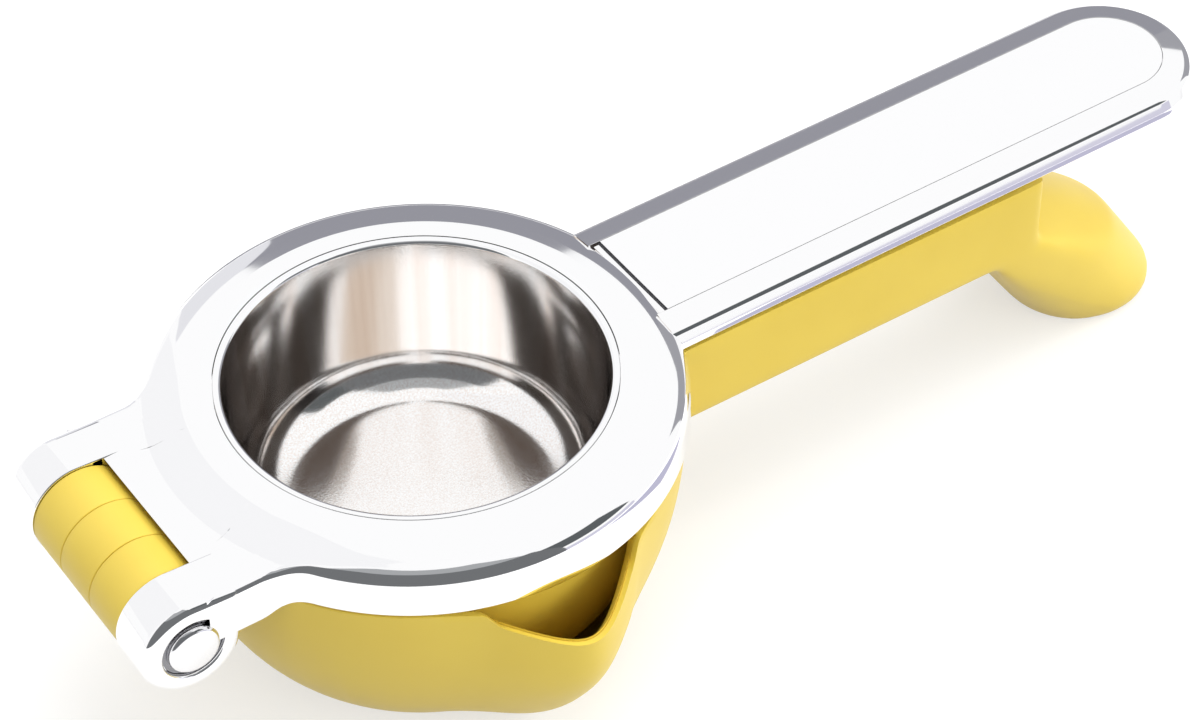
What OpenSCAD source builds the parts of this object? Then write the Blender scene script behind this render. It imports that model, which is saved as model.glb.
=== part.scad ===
// Hinged lemon squeezer: two levers on one pin. The upper lever carries a drawn press cup,
// the lower lever a bowl with a strainer and two pouring spouts.
// Frame: origin at the middle of the bowl's foot on the table, +X to the handle ends, +Z up.

/* [Press cup] */
// Radius of the open mouth of the press cup
mouth_r = 30; // [27:0.5:33]
// Depth of the cup from its mouth to the middle of its floor
cup_depth = 29.3; // [26:0.1:34]
// Wall thickness of the drawn cup
cup_wall = 1.2; // [0.8:0.1:1.8]
// How much smaller the cup's radius is where its wall meets the floor
cup_taper = 2.2; // [1:0.1:4]
// Radius of the corner between the cup's wall and floor
cup_corner_r = 5; // [3:0.5:8]
// Radius of the sphere that the cup's floor is part of
cup_floor_r = 130; // [90:5:200]
// Width of the flange that seats the cup in the ring
flange_w = 2.3; // [1.6:0.1:3]

/* [Ring] */
// Width of the ring from the cup's mouth to its outer edge
ring_w = 12.2; // [11.4:0.1:15]
// Height of the ring from its top to the parting line
ring_h = 9.2; // [8.2:0.1:11]
// Width of the ring's flat top, from the mouth outwards
ring_flat_w = 4.7; // [4:0.1:8]
// How far the ring's top slopes down before its rounded edge
ring_slope = 1; // [0.4:0.1:2]
// Radius of the ring's rounded outer edge
ring_edge_r = 2.1; // [1:0.1:3]
// Thickness of the casting's walls
casting_t = 3; // [2.2:0.1:3.4]

/* [Strainer and bowl heights] */
// Thickness of the bowl's floor
bowl_floor = 2; // [1.6:0.1:3]
// Height of the juice space under the strainer
juice_gap = 9.6; // [8:0.1:12]
// Wall and floor thickness of the strainer
strainer_t = 1.4; // [1:0.1:2]
// Height left for the fruit between strainer and closed cup
press_gap = 4.7; // [4.4:0.1:9]
// Gap between ring and bowl rim when closed
closing_gap = 0.3; // [0.2:0.05:0.6]

/* [Bowl] */
// How far the bowl's rim lies inside the ring's outer edge
rim_inset = 0.7; // [0.2:0.1:1.5]
// Radius of the flat that the bowl stands on
foot_r = 21.5; // [19:0.5:25]
// Wall thickness of the bowl
bowl_wall = 2.6; // [2:0.1:3.2]
// Radius of each hole in the strainer's floor
strainer_hole_r = 1.25; // [0.8:0.05:1.8]
// Number of rings of holes around the middle hole
strainer_rings = 4; // [2:1:4]

/* [Spouts] */
// How far a spout stands out from the bowl at the rim
spout_reach = 8; // [5:0.5:9]
// How far a spout stands out from the bowl at its belly
spout_belly_reach = 6.5; // [3:0.5:7]
// Height of a spout's belly over the table
spout_belly_z = 11; // [8:0.5:16]
// Radius of a spout's nose at the rim
spout_nose_r = 5.5; // [4:0.5:6.5]
// Half width of a spout where it leaves the bowl's rim
spout_half_w = 15; // [11:0.5:17]
// Half width of a spout where it leaves the bowl at its belly
spout_belly_half_w = 16.5; // [12:0.5:18]
// Wall thickness of a spout
spout_wall = 1.9; // [1.6:0.1:2.6]
// Depth of the pouring lip below the rim at the nose
lip_dip = 6.5; // [5:0.5:9]

/* [Hinge] */
// Distance of the hinge axis from the ring's outer edge
hinge_reach = 10.2; // [10:0.1:13]
// Depth of the hinge axis below the ring's top
hinge_drop = 10.4; // [9.6:0.1:12]
// Radius of the yellow hinge barrel
barrel_r = 8.1; // [7:0.1:8.6]
// Half length of the barrel between the ears
barrel_half = 13; // [11:0.5:15]
// Half length of the lower arm's own knuckle, in the middle of the barrel
knuckle_half = 4.4; // [3:0.1:6]
// Radius of the chrome ears
ear_r = 8.4; // [7.4:0.1:9]
// Thickness of each ear along the pin
ear_w = 8.8; // [7:0.1:11]
// Radius of the hinge pin
pin_r = 2.9; // [2:0.1:3.6]
// Radius of the pin's head and of its cap
head_r = 4.3; // [3.9:0.1:4.6]
// Height of head and cap over the ear's face
head_proud = 0.8; // [0.4:0.1:1.4]
// Radius of the counterbore in each ear
counterbore_r = 5.2; // [5:0.1:5.8]
// Depth of the counterbore in each ear
counterbore_d = 1.6; // [1.2:0.1:2.4]
// Thickness of each washer
washer_t = 0.7; // [0.4:0.1:1]
// Radial running clearance of the pin in its bores
pin_fit = 0.05; // [0.02:0.01:0.08]
// End clearance between the pieces on the pin
end_fit = 0.1; // [0.05:0.01:0.2]

/* [Tongue] */
// Depth of the tongue's flat top below the ring's top
tongue_drop = 2.5; // [2:0.1:3.5]
// Height of the tongue's flanks
flank_h = 8.6; // [7:0.1:10]
// Width of the slot between the barrel and the tongue
notch_gap = 1; // [0.5:0.1:1.6]
// Radius of the fillet between tongue and ring
tongue_fillet_r = 8; // [5:0.5:11]

/* [Upper handle] */
// Half width of the upper handle
handle_half = 15.2; // [14.6:0.1:17]
// Depth of the handle's top below the ring's top
handle_drop = 0.9; // [0.6:0.1:2.5]
// Thickness of the handle bar
handle_t = 3.6; // [2.4:0.1:4]
// How much narrower the bar's top is than its underside, on each side
handle_draft = 1.5; // [0.5:0.1:2]
// Length of the handle beyond the ring
handle_reach = 109.2; // [95:0.1:130]
// Width of the flat margin around the face plate, on the bar's top
plate_margin = 3.7; // [1.2:0.1:5]
// Thickness of the face plate
plate_t = 0.8; // [0.5:0.1:1.2]
// Depth of the spine under the handle
spine_h = 5; // [3:0.5:6]
// Thickness of ribs and spine
rib_t = 2.4; // [1.6:0.1:3]

/* [Lower handle] */
// Half width of the yellow grip
grip_half = 14.5; // [13:0.1:16]
// Height of the grip
grip_h = 17; // [14:0.5:18]
// Gap between grip and upper handle when closed
grip_gap = 0.5; // [0.4:0.05:1]
// Length of the grip beyond the ring
grip_reach = 70.5; // [62:0.5:76]
// Wall thickness of the grip
grip_wall = 2.6; // [2:0.1:3.4]
// Number of pockets along the grip
grip_pockets = 5; // [3:1:8]
// Length of the heel from the grip's end to its tip
heel_reach = 34.4; // [30:0.1:38]
// Radius of the heel's round foot
heel_foot_r = 13.3; // [12:0.1:14.5]
// Depth of the step at the grip's end
heel_step = 8.5; // [5:0.5:10]

/* [Hidden] */
$fn = 96;
over = 1;               // how far a cutting shape runs past what it cuts
seat_fit = 0.1;         // clearance of a piece in its pocket
drop_fit = 0.4;         // clearance of the strainer in the bowl
swing_fit = 0.5;        // clearance between pieces that pass each other

ring_top = bowl_floor + juice_gap + strainer_t + press_gap + cup_wall + cup_depth;
ring_r = mouth_r + ring_w;
ring_low = ring_top - ring_h;
rim_z = ring_low - closing_gap;
rim_r = ring_r - rim_inset;
cup_r = mouth_r + cup_wall;
cup_floor_z = ring_top - cup_depth;
cup_corner_x = mouth_r - cup_taper - cup_corner_r;
cup_bend = asin(cup_corner_x / (cup_floor_r - cup_corner_r));
cup_corner_z = cup_floor_z + cup_floor_r - (cup_floor_r - cup_corner_r) * cos(cup_bend);
strainer_z = bowl_floor + juice_gap;
ledge_z = rim_z - strainer_t;

hinge_x = -(ring_r + hinge_reach);
hinge_z = ring_top - hinge_drop;
ear_end = barrel_half + end_fit + ear_w;
bore_r = pin_r + pin_fit;
head_in = ear_end - counterbore_d + washer_t;
head_out = ear_end + head_proud;
notch_r = barrel_r + notch_gap;

tongue_top = ring_top - tongue_drop;
tongue_low = tongue_top - flank_h;
web_low = tongue_top - casting_t;

handle_top = ring_top - handle_drop;
handle_low = handle_top - handle_t;
handle_tip = ring_r + handle_reach;
handle_start = sqrt(pow(ring_r, 2) - pow(handle_half, 2)) - 0.2;
plate_start = ring_r - ring_edge_r - 0.2;
plate_half = handle_half - handle_draft - plate_margin;
plate_tip = handle_tip - handle_draft - plate_margin;

grip_top = handle_low - grip_gap;
grip_low = grip_top - grip_h;
grip_end = ring_r + grip_reach;
trough_start = ring_r + swing_fit + grip_wall;
heel_tip = grip_end + heel_reach;
heel_x = heel_tip - heel_foot_r;

// Points of an arc about c, with n steps
function arc(c, r, a0, a1, n = 8) =
    [for (i = [0:n]) c + r * [cos(a0 + (a1 - a0) * i / n), sin(a0 + (a1 - a0) * i / n)]];

// The bowl's side is a quarter of an ellipse: its angle at height z, its point at angle a
function bowl_angle(z) = asin((rim_z - z) / rim_z);
function bowl_point(a, inset) =
    [foot_r + (rim_r - foot_r) * cos(a) - inset, rim_z * (1 - sin(a))];
function bowl_r(z) = bowl_point(bowl_angle(z), 0)[0];

// Side of the bowl, moved inwards by inset, from height z0 to z1
function bowl_side(inset, z0, z1, n = 12) =
    [for (i = [0:n]) let (t = i / n)
        bowl_point(bowl_angle(z0) * (1 - t) + bowl_angle(z1) * t, inset)];

// Half of the cup's section from the middle of its floor to the end of its corner,
// grown outwards by t
function cup_side(t) =
    concat(arc([0, cup_floor_z + cup_floor_r], cup_floor_r + t, -90, cup_bend - 90, 4),
           arc([cup_corner_x, cup_corner_z], cup_corner_r + t, cup_bend - 90, 0, 6));

// A cylinder along the pin, from y0 to y1
module along_pin(r, y0, y1) {
    translate([hinge_x, y1, hinge_z])
        rotate([90, 0, 0])
            cylinder(r = r, h = y1 - y0);
}

// A flat bar with a half-round tip, seen from above
module round_bar(x0, x1, half, z0, z1) {
    translate([0, 0, z0])
        linear_extrude(z1 - z0) {
            translate([x0, -half])
                square([x1 - half - x0, 2 * half]);
            translate([x1 - half, 0])
                circle(r = half);
        }
}

module ring_section() {
    slope_r = ring_r - ring_edge_r;
    slope_z = ring_top - ring_slope;
    flange_r = mouth_r + flange_w + seat_fit;
    collar_r = cup_r + seat_fit + casting_t * 0.8;
    skirt_r = ring_r - casting_t * 0.8;
    polygon(concat(
        [[cup_r + seat_fit, ring_low + 2],
         [cup_r + seat_fit, ring_top - cup_wall],
         [flange_r, ring_top - cup_wall],
         [flange_r, ring_top],
         [mouth_r + ring_flat_w, ring_top]],
        arc([slope_r, slope_z - ring_edge_r], ring_edge_r, 90, 0),
        [[ring_r, ring_low],
         [skirt_r, ring_low],
         [skirt_r, ring_top - ring_slope - casting_t],
         [collar_r, ring_top - ring_slope - casting_t],
         [collar_r, ring_low + 2]]));
}

// Seen from above: the tongue and its fillets into the ring
module tongue_outline() {
    fillet_y = ear_end + tongue_fillet_r;
    fillet_x = -sqrt(pow(ring_r + tongue_fillet_r, 2) - pow(fillet_y, 2));
    difference() {
        union() {
            translate([hinge_x, -ear_end])
                square([-hinge_x, 2 * ear_end]);
            for (s = [-1, 1])
                polygon([[fillet_x, s * ear_end], [0, s * ear_end],
                         ring_r / (ring_r + tongue_fillet_r) * [fillet_x, s * fillet_y]]);
        }
        for (s = [-1, 1])
            translate([fillet_x, s * fillet_y])
                circle(r = tongue_fillet_r);
        circle(r = ring_r - casting_t / 2);
    }
}

module ear(s) {
    shoulder = ear_r - 1.6;
    translate([hinge_x, 0, hinge_z])
        rotate([s * 90, 0, 0])
            mirror([0, 0, 1])
                rotate_extrude()
                    polygon(concat(
                        [[0, barrel_half + end_fit], [ear_r, barrel_half + end_fit]],
                        arc([shoulder, ear_end - 1.6], 1.6, 0, 90),
                        [[0, ear_end]]));
}

module upper_arm() {
    color("gainsboro")
    difference() {
        union() {
            rotate_extrude(convexity = 6)
                ring_section();
            translate([0, 0, tongue_low])
                linear_extrude(tongue_top - tongue_low)
                    tongue_outline();
            for (s = [-1, 1])
                ear(s);
            handle_bar();
            handle_spine();
        }
        // the hollow under the tongue, between its flanks
        translate([hinge_x, -barrel_half, tongue_low - over])
            cube([-hinge_x, 2 * barrel_half, web_low - tongue_low + over]);
        // room for the bowl under the tongue
        translate([0, 0, tongue_low - over])
            cylinder(r = rim_r + swing_fit, h = ring_low - tongue_low + over);
        // the notch for the barrel
        along_pin(notch_r, -barrel_half - end_fit, barrel_half + end_fit);
        translate([hinge_x - notch_r, -barrel_half - end_fit, hinge_z])
            cube([notch_r, 2 * (barrel_half + end_fit), notch_r + over]);
        // bores and counterbores in the ears
        along_pin(bore_r, -ear_end - over, ear_end + over);
        along_pin(counterbore_r, -ear_end - over, -ear_end + counterbore_d);
        along_pin(counterbore_r, ear_end - counterbore_d, ear_end + over);
        // the pocket for the face plate
        round_bar(plate_start, plate_tip, plate_half, handle_top - plate_t, ring_top + over);
    }
}

// The bar stands straight for a third of its thickness, and then draws in to its top
module handle_bar() {
    straight = handle_t / 3;
    hull() {
        round_bar(handle_start, handle_tip, handle_half, handle_low, handle_low + straight);
        round_bar(handle_start, handle_tip - handle_draft, handle_half - handle_draft,
                  handle_low + straight, handle_top);
    }
}

module handle_spine() {
    spine_end = grip_end - grip_wall - 4;
    spine_start = trough_start + swing_fit;
    gusset_pitch = (spine_end - spine_start) / (grip_pockets + 1);
    translate([spine_start, -rib_t / 2, handle_low - spine_h])
        cube([spine_end - spine_start, rib_t, spine_h + over]);
    for (i = [1:grip_pockets])
        translate([spine_start + i * gusset_pitch, -grip_half + grip_wall + 3,
                   handle_low - spine_h / 2])
            cube([rib_t, 2 * (grip_half - grip_wall - 3), spine_h / 2 + over]);
}

module handle_plate() {
    color("white")
    round_bar(plate_start + seat_fit, plate_tip - seat_fit, plate_half - seat_fit,
              handle_top - plate_t, handle_top);
}

module press_cup() {
    inside = cup_side(0);
    color("silver")
    rotate_extrude(convexity = 6)
        polygon(concat(
            cup_side(cup_wall),
            [[cup_r, ring_top - cup_wall],
             [mouth_r + flange_w, ring_top - cup_wall],
             [mouth_r + flange_w, ring_top],
             [mouth_r, ring_top]],
            [for (i = [len(inside) - 1:-1:0]) inside[i]]));
}

// One spout, the hull of its foot, belly and head, from z0 up; inset gives the channel inside
module spout(inset, z0, rise = 0) {
    side_r = 3;
    belly_nose_r = 8;
    hull() {
        for (level = [[z0, foot_r + 4, spout_belly_reach - 1, belly_nose_r, foot_r / 2],
                      [spout_belly_z, bowl_r(spout_belly_z), spout_belly_reach, belly_nose_r,
                       spout_belly_half_w],
                      [rim_z + rise, rim_r, spout_reach, spout_nose_r, spout_half_w]])
            translate([0, 0, level[0]])
                linear_extrude(0.01) {
                    translate([0, level[3] - level[1] - level[2]])
                        circle(r = level[3] - inset, $fn = 32);
                    for (s = [-1, 1])
                        translate([s * (level[4] - side_r),
                                   side_r - sqrt(pow(level[1], 2) - pow(level[4], 2))])
                            circle(r = side_r - inset, $fn = 32);
                }
    }
}

// The heel at the end of the grip: a hoof that reaches down to a round foot on the table
module heel(inset) {
    hull() {
        translate([grip_end - 9 + inset, -grip_half + inset, grip_low + inset])
            cube([9 - inset, 2 * (grip_half - inset), grip_h - heel_step - 2 * inset]);
        for (level = [[0, 0.8], [2.5, 0]])
            translate([heel_x, 0, level[0]])
                cylinder(r = heel_foot_r - inset - level[1], h = 0.01, $fn = 48);
    }
}

module grip_pocket_row() {
    trough_end = grip_end - grip_wall;
    pitch = (trough_end - trough_start + rib_t) / grip_pockets;
    half = grip_half - grip_wall - rib_t / 2;
    for (i = [0:grip_pockets - 1], s = [0, 1])
        translate([trough_start + i * pitch, s == 0 ? rib_t / 2 : -rib_t / 2 - half,
                   grip_low + grip_wall])
            cube([pitch - rib_t, half, grip_h]);
    // the ribs stop short of the spine above them
    translate([trough_start, -grip_half + grip_wall, grip_low + grip_h - spine_h - 3])
        cube([trough_end - trough_start, 2 * (grip_half - grip_wall), spine_h + 3 + over]);
}

module lower_arm() {
    neck_half = barrel_half - 0.3;
    neck_top = web_low - swing_fit;
    neck_low = hinge_z - barrel_r;
    color("khaki")
    difference() {
        union() {
            rotate_extrude()
                polygon(concat([[0, 0]], bowl_side(0, 0, rim_z, 20), [[0, rim_z]]));
            spout(0, 0);
            mirror([0, 1, 0])
                spout(0, 0);
            translate([rim_r - 8, -grip_half, grip_low])
                cube([grip_end - rim_r + 8, 2 * grip_half, grip_h]);
            heel(0);
            // neck from the bowl to the knuckle
            translate([hinge_x, -neck_half, neck_low])
                cube([-hinge_x - rim_r + 8, 2 * neck_half, neck_top - neck_low]);
            along_pin(barrel_r, -knuckle_half, knuckle_half);
        }
        // inside of the bowl, with the ledge that carries the strainer
        rotate_extrude()
            polygon(concat([[0, bowl_floor], [bowl_r(bowl_floor) - bowl_wall - 2, bowl_floor]],
                           bowl_side(bowl_wall, bowl_floor + 2, ledge_z),
                           [[rim_r - bowl_wall / 2, ledge_z],
                            [rim_r - bowl_wall / 2, rim_z + over], [0, rim_z + over]]));
        // channels of the spouts, and the cut that makes their lips
        for (s = [0, 1])
            mirror([0, s, 0]) {
                spout(spout_wall, bowl_floor, over);
                lip_cut();
            }
        // room for the ring over the rim
        translate([0, 0, rim_z])
            cylinder(r = ring_r + swing_fit, h = ring_h + ring_top);
        grip_pocket_row();
        heel_hollow();
        // room for the spacers, and the bore
        for (s = [0, 1])
            mirror([0, s, 0]) {
                along_pin(barrel_r + 0.4, knuckle_half, barrel_half + over);
                translate([hinge_x - over, knuckle_half, neck_low - over])
                    cube([over, barrel_half, neck_top]);
            }
        along_pin(bore_r, -barrel_half, barrel_half);
        neck_hollow(neck_low);
    }
}

module lip_cut() {
    lip_r = rim_r - bowl_wall / 2;
    nose_r = rim_r + spout_reach - 2;
    rotate([90, 0, -90])
        linear_extrude(4 * spout_half_w, center = true)
            polygon([[lip_r, rim_z + over], [lip_r, rim_z - 1.5], [nose_r, rim_z - lip_dip],
                     [nose_r + 8, rim_z - lip_dip - 6], [nose_r + 8, rim_z + over]]);
}

// The heel is cored from below, with one rib left in the middle
module heel_hollow() {
    difference() {
        intersection() {
            heel(grip_wall + 0.8);
            translate([heel_x - heel_foot_r, -heel_foot_r, -over])
                cube([2 * heel_foot_r, 2 * heel_foot_r, 14]);
        }
        translate([heel_x - heel_foot_r, -rib_t / 2, 0])
            cube([2 * heel_foot_r, rib_t, 14]);
    }
}

module neck_hollow(z0) {
    x0 = hinge_x + barrel_r + 3;
    for (s = [0, 1])
        mirror([0, s, 0])
            translate([x0, rib_t / 2, z0 - over])
                cube([-rim_r + 2 - x0, barrel_half - 3 - rib_t / 2, 8]);
}

module seed_strainer() {
    inset = bowl_wall + drop_fit;
    rim_in = rim_r - bowl_wall / 2 - seat_fit;
    floor_r = bowl_r(strainer_z) - inset - 3;
    hole_pitch = (floor_r - strainer_hole_r - 2) / strainer_rings;
    color("khaki")
    difference() {
        rotate_extrude(convexity = 6)
            polygon(concat(
                [[0, strainer_z], [floor_r, strainer_z]],
                bowl_side(inset, strainer_z + 2.5, ledge_z),
                [[rim_in, ledge_z], [rim_in, rim_z], [bowl_r(ledge_z) - inset - strainer_t, rim_z]],
                [for (p = bowl_side(inset + strainer_t, ledge_z, strainer_z + 3.5)) p],
                [[floor_r - 1, strainer_z + strainer_t], [0, strainer_z + strainer_t]]));
        strainer_hole(0, 0);
        for (ring = [1:strainer_rings], i = [1:6 * ring])
            strainer_hole(ring * hole_pitch, i * 60 / ring);
    }
}

module strainer_hole(r, a) {
    rotate([0, 0, a])
        translate([r, 0, strainer_z - over])
            cylinder(r = strainer_hole_r, h = strainer_t + 2 * over, $fn = 24);
}

module hinge_pin() {
    color("whitesmoke")
    union() {
        along_pin(pin_r, -head_in, ear_end - 0.2);
        along_pin(head_r, -head_out, -head_in);
    }
}

module pin_cap() {
    color("whitesmoke")
    difference() {
        along_pin(head_r, head_in, head_out);
        along_pin(bore_r, head_in - over, ear_end);
    }
}

module spacer(y0, y1) {
    color("khaki")
    difference() {
        along_pin(barrel_r, y0, y1);
        along_pin(bore_r, y0 - over, y1 + over);
    }
}

module front_spacer() {
    spacer(-barrel_half, -knuckle_half - end_fit);
}

module rear_spacer() {
    spacer(knuckle_half + end_fit, barrel_half);
}

module washer(y0, y1) {
    color("lightgray")
    difference() {
        along_pin(counterbore_r - seat_fit, y0, y1);
        along_pin(bore_r, y0 - over, y1 + over);
    }
}

module front_washer() {
    washer(-head_in, -head_in + washer_t);
}

module rear_washer() {
    washer(head_in - washer_t, head_in);
}

upper_arm();
handle_plate();
press_cup();
lower_arm();
seed_strainer();
hinge_pin();
pin_cap();
front_spacer();
rear_spacer();
front_washer();
rear_washer();
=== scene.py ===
# %% [markdown]
# # A hinged lemon squeezer
# Two levers turn on one pin. The upper lever is a chromed casting that carries a drawn steel
# cup, and the lower lever is a moulded plastic bowl with two spouts, a grip and a heel.
# The solids come from the frame. Most pieces are made again here with their real edges and
# finish, and the strainer and the washers keep their solids' meshes. All the sizes below are
# millimetres, and each mesh is turned to metres once.

import math

import bmesh
import bpy
from mathutils import Matrix, Vector


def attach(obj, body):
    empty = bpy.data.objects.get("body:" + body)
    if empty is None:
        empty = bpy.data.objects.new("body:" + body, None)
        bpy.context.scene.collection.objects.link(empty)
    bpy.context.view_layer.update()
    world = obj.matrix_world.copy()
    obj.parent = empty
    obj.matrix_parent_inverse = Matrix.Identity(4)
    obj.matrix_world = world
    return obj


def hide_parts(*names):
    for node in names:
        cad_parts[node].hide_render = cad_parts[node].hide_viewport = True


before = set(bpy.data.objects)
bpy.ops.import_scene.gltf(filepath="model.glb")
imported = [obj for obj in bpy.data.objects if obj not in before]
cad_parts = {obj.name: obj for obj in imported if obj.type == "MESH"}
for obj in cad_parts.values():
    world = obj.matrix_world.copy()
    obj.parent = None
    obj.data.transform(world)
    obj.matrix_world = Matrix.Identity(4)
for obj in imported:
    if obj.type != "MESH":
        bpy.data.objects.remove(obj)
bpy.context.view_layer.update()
MM = 0.001
print("nodes:", sorted(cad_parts))

# %% [markdown]
# ## Sizes
# Nearly all sizes repeat those of the solids, so that every piece stays where its solid is.
# Only the ring's edge is rounder and the handle's top a hair higher. The origin is the middle
# of the bowl's foot on the table, +X runs to the handle's end.

# %% Sizes in millimetres
MOUTH_R = 30.0
RING_R = 42.2
RING_TOP = 48.2
RING_LOW = 39.0
RING_EDGE_R = 3.3
RING_SLOPE = 1.0
SEAT_R = 31.45
CUP_R = 31.2
CUP_WALL = 1.2
CUP_DEPTH = 29.3
RIM_Z = 38.7
RIM_R = 41.5
FOOT_R = 21.5
FLOOR_T = 2.0
HINGE_X = -52.4
HINGE_Z = 37.8
EAR_IN = 13.1
EAR_OUT = 21.9
EAR_R = 8.4
BARREL_R = 8.1
KNUCKLE_HALF = 4.4
PIN_BORE_R = 2.95
TONGUE_TOP = 45.7
TONGUE_LOW = 37.1
WEB_LOW = 42.7
HANDLE_TOP = 47.7
HANDLE_LOW = 43.7
HANDLE_TIP = 151.4
HANDLE_HALF = 15.2
GRIP_HALF = 14.5
GRIP_TOP = 43.2
GRIP_LOW = 26.2
GRIP_END = 112.7
HEEL_X = 133.8
HEEL_R = 13.3
print("hinge axis at x", HINGE_X, "z", HINGE_Z)

# %% [markdown]
# ## The camera
# A long lens looks down at the squeezer from the front left. The camera aims at a point near
# the middle of the tool and stands on the line of sight behind it. Its three axes are worked
# out from two angles, and a very small roll is added.

# %% Camera
VIEW_TURN = math.radians(33.673)
VIEW_TILT = math.radians(43.817)
VIEW_ROLL = 0.008228
VIEW_DISTANCE = 585.14
AIM_RIGHT = 28.174
AIM_UP = 1.679
LENS_MM = 114.377

right = Vector((math.cos(VIEW_TURN), -math.sin(VIEW_TURN), 0))
ahead = Vector((math.sin(VIEW_TURN) * math.cos(VIEW_TILT),
                math.cos(VIEW_TURN) * math.cos(VIEW_TILT), -math.sin(VIEW_TILT)))
above = right.cross(ahead)
aim = Vector((0, 0, RING_TOP)) + right * AIM_RIGHT + above * AIM_UP
eye = (aim - ahead * VIEW_DISTANCE) * MM
roll_right = right * math.cos(VIEW_ROLL) - above * math.sin(VIEW_ROLL)
roll_above = right * math.sin(VIEW_ROLL) + above * math.cos(VIEW_ROLL)

camera_data = bpy.data.cameras.new("camera")
camera_data.lens = LENS_MM
camera_data.sensor_width = 36
camera_data.clip_start = 0.01
camera = bpy.data.objects.new("camera", camera_data)
bpy.context.scene.collection.objects.link(camera)
camera.matrix_world = Matrix((
    (roll_right.x, roll_above.x, -ahead.x, eye.x),
    (roll_right.y, roll_above.y, -ahead.y, eye.y),
    (roll_right.z, roll_above.z, -ahead.z, eye.z),
    (0, 0, 0, 1)))
bpy.context.scene.camera = camera
print("camera at", [round(c, 3) for c in eye])

# %% [markdown]
# ## Helpers for shapes
# Most pieces start as a chain of a few points, whose corners are rounded by a bevel on the
# points, and which is then spun about an axis or extruded. One helper makes the chain, one
# spins it, and one turns a finished mesh into a piece that rides on its lever.

# %% A chain of points with rounded corners
CORNER_STEPS = 6
MERGE_MM = 0.0005


def chain(bm, points, closed=False):
    """points: (x, y, z, corner setback) in mm."""
    verts = [bm.verts.new(p[:3]) for p in points]
    edges = [bm.edges.new(pair) for pair in zip(verts, verts[1:])]
    if closed:
        edges.append(bm.edges.new((verts[-1], verts[0])))
    for v, p in zip(verts, points):
        if p[3] > 0:
            bmesh.ops.bevel(bm, geom=[v], affect="VERTICES", offset=p[3],
                            segments=CORNER_STEPS, profile=0.5, material=-1)


def lathe(bm, steps, centre=(0, 0, 0), axis=(0, 0, 1)):
    bmesh.ops.spin(bm, geom=bm.verts[:] + bm.edges[:], cent=centre, axis=axis,
                   angle=math.tau, steps=steps, use_merge=True)
    bmesh.ops.remove_doubles(bm, verts=bm.verts, dist=MERGE_MM)


# %% A box, given by its two corners
def block(bm, low, high):
    made = bmesh.ops.create_cube(bm, size=1)["verts"]
    size = [h - l for l, h in zip(low, high)]
    middle = [(h + l) / 2 for l, h in zip(low, high)]
    bmesh.ops.scale(bm, vec=size, verts=made)
    bmesh.ops.translate(bm, vec=middle, verts=made)
    return made


# %% Meshes and objects
def mesh_from(name, bm):
    mesh = bpy.data.meshes.new(name)
    bm.to_mesh(mesh)
    bm.free()
    return mesh


def put(name, data):
    thing = bpy.data.objects.new(name, data)
    bpy.context.scene.collection.objects.link(thing)
    return thing


def join(bm, other):
    """Adds the shape other to bm."""
    part = mesh_from("part", other)
    bm.from_mesh(part)
    bpy.data.meshes.remove(part)


# %% From a mesh in millimetres to a piece on its lever
def piece(name, bm, body, node, material, sharp):
    """sharp: in degrees, edges steeper than this stay crisp."""
    bmesh.ops.remove_doubles(bm, verts=bm.verts, dist=MERGE_MM)
    bmesh.ops.recalc_face_normals(bm, faces=bm.faces)
    bmesh.ops.scale(bm, vec=(MM, MM, MM), verts=bm.verts)
    mesh = mesh_from(name, bm)
    mesh.polygons.foreach_set("use_smooth", [True] * len(mesh.polygons))
    mesh.set_sharp_from_angle(angle=math.radians(sharp))
    thing = put(name, mesh)
    mesh.materials.append(material)
    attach(thing, body)
    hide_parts(node)
    print(name, len(mesh.polygons), "faces")
    return thing


def finish_solid(name, material):
    """A solid that already has its true shape keeps its mesh."""
    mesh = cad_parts[name].data
    mesh.materials.clear()
    mesh.materials.append(material)
    print(name, "keeps", len(mesh.polygons), "faces")


def steady_normals(thing):
    """Keeps wide flat faces flat in a polished reflection."""
    weighted = thing.modifiers.new("flat faces lead", "WEIGHTED_NORMAL")
    weighted.keep_sharp = True
    weighted.weight = 80


# %% [markdown]
# ## Helpers for finishes
# Colours are written as sRGB hex values and turned to linear once. One helper adds a node
# with its settings and its links. The others start a finish, make a noise of a given size, and
# let a pattern vary the roughness or raise the surface.

# %% Colour and node helpers
def linear(code):
    channels = [int(code[i:i + 2], 16) / 255 for i in (1, 3, 5)]
    return tuple(c / 12.92 if c <= 0.04045 else ((c + 0.055) / 1.055) ** 2.4
                 for c in channels) + (1.0,)


def add(tree, kind, links=None, **settings):
    node = tree.nodes.new(kind)
    for key, value in settings.items():
        if key in node.inputs:
            node.inputs[key].default_value = value
        else:
            setattr(node, key, value)
    for socket, source in (links or {}).items():
        tree.links.new(source, node.inputs[socket])
    return node


def finish(name):
    material = bpy.data.materials.new(name)
    material.use_nodes = True
    tree = material.node_tree
    tree.nodes.clear()
    place = add(tree, "ShaderNodeTexCoord").outputs["Object"]
    shader = tree.nodes.new("ShaderNodeBsdfPrincipled")
    out = tree.nodes.new("ShaderNodeOutputMaterial")
    tree.links.new(shader.outputs["BSDF"], out.inputs["Surface"])
    return material, tree, place, shader


def noise(tree, place, size_mm, detail):
    made = add(tree, "ShaderNodeTexNoise", {"Vector": place}, Scale=1 / (size_mm * MM),
               Detail=detail)
    return made.outputs["Fac"]


def vary_roughness(tree, shader, pattern, low, high):
    gloss = add(tree, "ShaderNodeMapRange", {"Value": pattern})
    gloss.inputs["To Min"].default_value = low
    gloss.inputs["To Max"].default_value = high
    tree.links.new(gloss.outputs["Result"], shader.inputs["Roughness"])


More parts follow.
